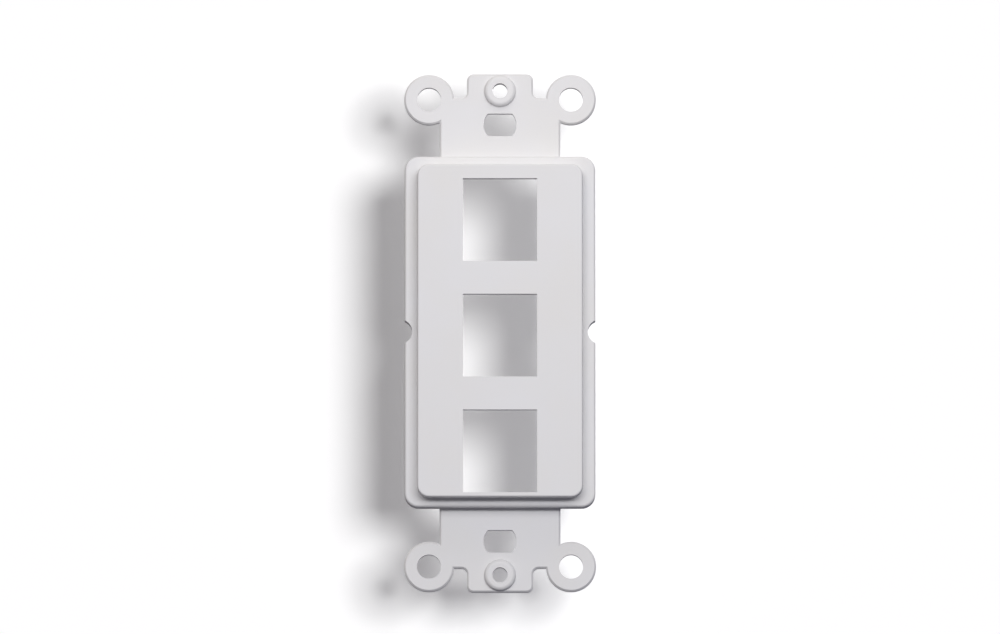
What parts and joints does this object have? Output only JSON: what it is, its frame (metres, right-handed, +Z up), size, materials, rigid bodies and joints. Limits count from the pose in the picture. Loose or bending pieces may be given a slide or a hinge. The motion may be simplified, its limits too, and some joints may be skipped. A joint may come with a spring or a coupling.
{
  "type": "wall plate insert",
  "caption": "One-piece moulded wall plate insert: a flat screw strap with plaster ears and a raised block with a column of keystone jack ports.",
  "frame": {"origin": "centre of the cover screw pattern on the plane where the strap seats on the wall", "axes": "+Z up along the strap, +X to the right as seen from the front, the front faces -Y"},
  "size_m": [0.0382, 0.01, 0.1036],
  "materials": {
    "body": "satin moulded"
  },
  "bodies": {
    "root": {"insert_body": "body"}
  },
  "joints": []
}
